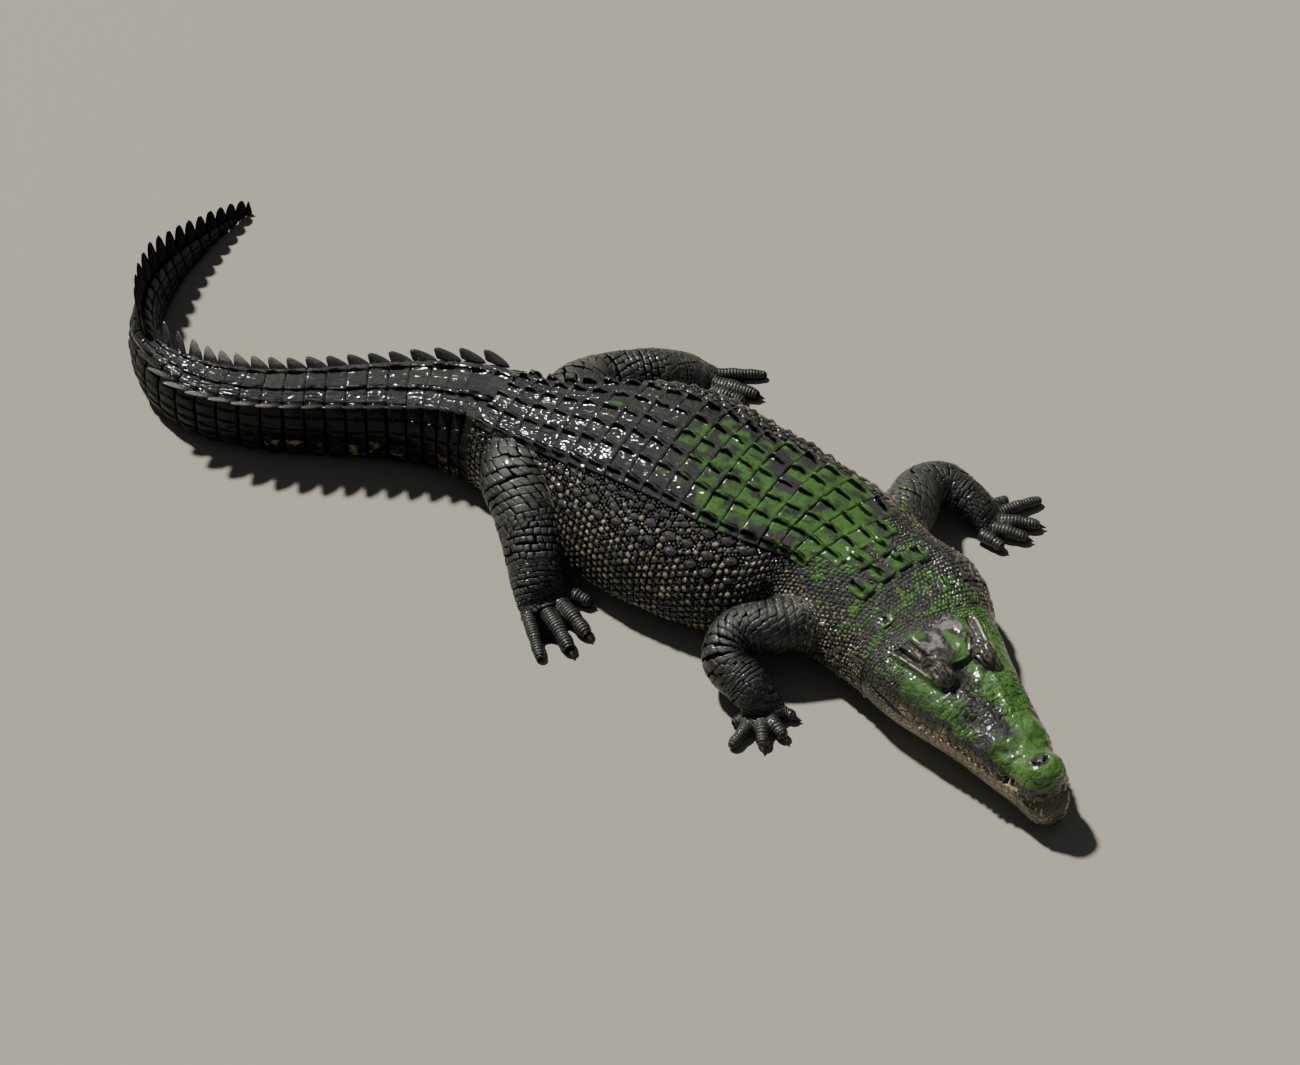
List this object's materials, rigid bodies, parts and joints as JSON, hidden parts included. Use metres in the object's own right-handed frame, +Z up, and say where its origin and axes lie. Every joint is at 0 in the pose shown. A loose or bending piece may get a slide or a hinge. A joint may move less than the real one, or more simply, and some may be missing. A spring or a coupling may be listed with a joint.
{
  "type": "crocodile",
  "caption": "Life-size crocodile lying on its belly, head low with the jaws a little open, legs spread and the tail curved round to one side.",
  "frame": {"origin": "on the floor, below the middle of the whole outline", "axes": "+Z up, +X along the trunk towards the head, +Y to the animal's left"},
  "size_m": [1.9918, 0.8246, 0.2251],
  "materials": {
    "hide": "wet scaly hide, dark grey to black with tan flanks and green algae over the head and shoulders",
    "claw": "worn horn, also the teeth in ivory",
    "eye": "wet glossy eye with a slit pupil"
  },
  "bodies": {
    "root": {"claw_fore_left_1": "claw", "claw_fore_left_2": "claw", "claw_fore_left_3": "claw", "claw_fore_right_1": "claw", "claw_fore_right_2": "claw", "claw_fore_right_3": "claw", "claw_hind_left_1": "claw", "claw_hind_left_2": "claw", "claw_hind_left_3": "claw", "claw_hind_right_1": "claw", "claw_hind_right_2": "claw", "claw_hind_right_3": "claw", "eye_left": "eye", "eye_right": "eye", "foot_left": "hide", "foot_right": "hide", "forearm_left": "hide", "forearm_right": "hide", "hand_left": "hide", "hand_right": "hide", "head": "hide", "lower_jaw": "hide", "neck": "hide", "shank_left": "hide", "shank_right": "hide", "tail_1": "hide", "tail_2": "hide", "tail_3": "hide", "tail_4": "hide", "tail_5": "hide", "tail_6": "hide", "tail_7": "hide", "thigh_left": "hide", "thigh_right": "hide", "trunk": "hide", "upper_arm_left": "hide", "upper_arm_right": "hide"}
  },
  "joints": []
}
